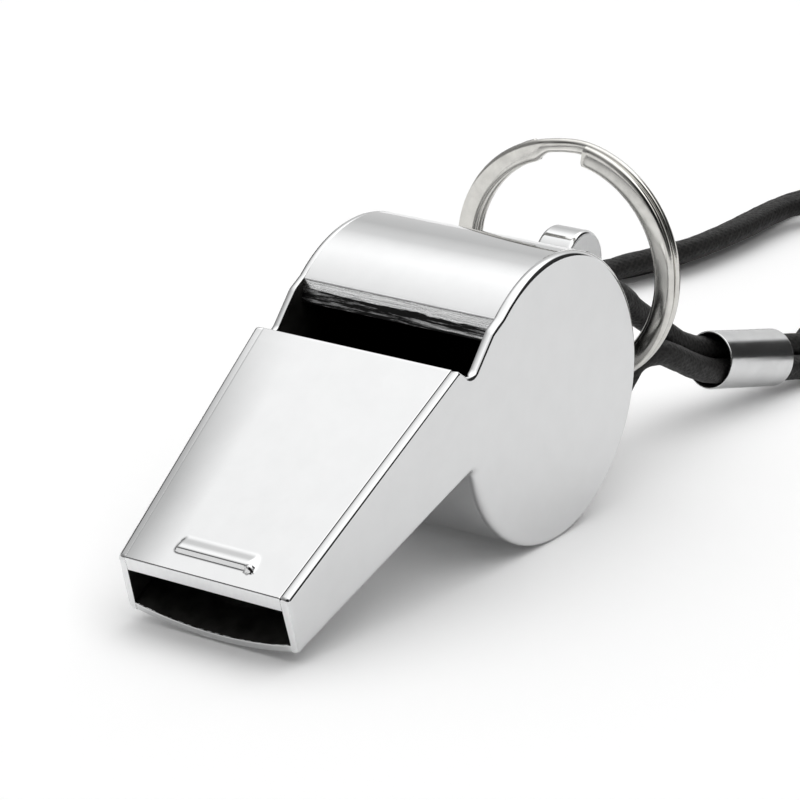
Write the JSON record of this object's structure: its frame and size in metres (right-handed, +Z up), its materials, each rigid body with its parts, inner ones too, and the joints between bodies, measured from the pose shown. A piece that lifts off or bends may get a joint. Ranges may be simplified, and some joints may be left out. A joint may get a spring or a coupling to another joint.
{
  "type": "sports whistle",
  "caption": "Round-barrel pea whistle of sheet metal with a raised tooth bar, a split ring on its lug and a black neck cord clamped by a ferrule.",
  "frame": {"origin": "middle of the underside of the whistle's own box (body, lug and upright split ring, without the cord)", "axes": "+Z up, +X from the mouthpiece to the lug, barrel axis along Y, -Y is the right side plate of a person blowing it"},
  "size_m": [0.1346, 0.072, 0.0284],
  "materials": {
    "body_plating": "mirror polished nickel-chrome plating",
    "inner_sheet": "plated sheet with a dull inside",
    "ring_plating": "nickel plated spring wire",
    "ferrule_plating": "plated sleeve",
    "cork": "natural cork",
    "cord": "black waxed cord",
    "tie": "soft black tie"
  },
  "bodies": {
    "root": {"side_plate_right": "body_plating", "side_plate_left": "body_plating", "barrel_band": "body_plating", "top_plate": "body_plating", "mouthpiece_underside": "body_plating", "windway_insert": "inner_sheet", "ring_lug": "body_plating", "cord_ring_loop": "cord", "ferrule": "ferrule_plating", "cord_neck_back": "cord", "cord_neck_front": "cord", "cord_coil": "cord", "coil_ties": "tie"},
    "ring": {"split_ring": "ring_plating"},
    "pea": {"pea": "cork"}
  },
  "joints": [
    {"name": "ring_swing", "type": "hinge", "parent": "root", "child": "ring", "pos_m": [0.02414, 0, 0.00766], "axis": [0, 1, 0], "range_deg": [-25, 80]},
    {"name": "pea_orbit", "type": "hinge", "parent": "root", "child": "pea", "pos_m": [0.00714, 0, 0.0122], "axis": [0, 1, 0], "continuous": true}
  ]
}
